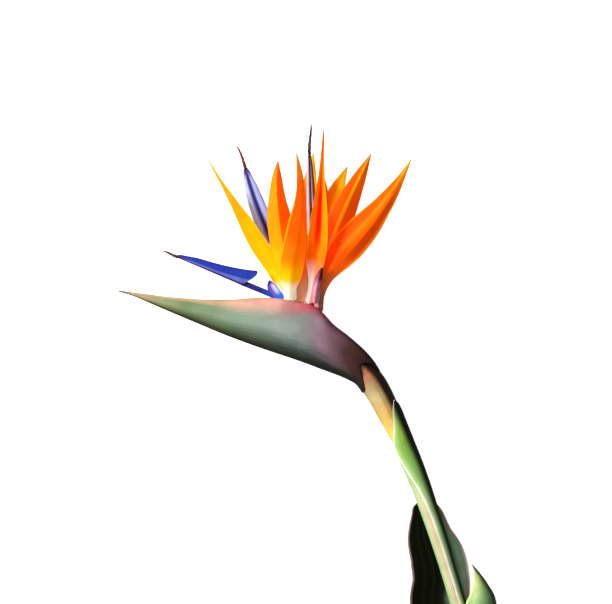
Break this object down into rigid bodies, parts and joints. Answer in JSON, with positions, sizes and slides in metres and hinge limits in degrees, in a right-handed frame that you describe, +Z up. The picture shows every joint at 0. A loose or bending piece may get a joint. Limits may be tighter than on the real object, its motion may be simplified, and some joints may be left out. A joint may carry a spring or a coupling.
{
  "type": "bird of paradise flower",
  "caption": "Cut bird of paradise flower head lying on its side: boat-shaped spathe, orange keeled sepals, arrow-shaped blue tongues, and a sheathed stem cut square.",
  "frame": {"origin": "bottom centre of the box round the flower as it lies, on the surface it lies on", "axes": "+Z up from the surface; the open florets point to +Y, the beak of the spathe to -X and the cut end of the stem to -Y"},
  "size_m": [0.2389, 0.377, 0.0393],
  "materials": {
    "spathe": "waxy, satin",
    "stem": "smooth, satin",
    "green_sheath": "smooth, satin",
    "dark_sheath": "waxy, satin",
    "pale_sheath": "papery, matte",
    "pale_tissue": "smooth, matte",
    "sepal": "smooth, satin",
    "blue_petal": "velvety, matte",
    "lilac_petal": "velvety, matte",
    "maroon_petal": "velvety, matte",
    "dry_tip": "dry, matte"
  },
  "bodies": {
    "root": {"floret_tube_a": "pale_tissue", "floret_tube_b": "pale_tissue", "floret_tube_c": "pale_tissue", "hood_a": "blue_petal", "hood_c": "maroon_petal", "lower_sheath": "dark_sheath", "scape": "stem", "sepal_a1": "sepal", "sepal_a2": "sepal", "sepal_a3": "sepal", "sepal_b1": "sepal", "sepal_b2": "sepal", "sepal_b3": "sepal", "sepal_c1": "sepal", "sepal_c2": "sepal", "sepal_c3": "sepal", "side_sheath": "pale_sheath", "spathe": "spathe", "stigma_a": "dry_tip", "stigma_b": "dry_tip", "stigma_c": "dry_tip", "tongue_a": "blue_petal", "tongue_b": "lilac_petal", "tongue_c": "maroon_petal", "upper_sheath": "green_sheath"}
  },
  "joints": []
}
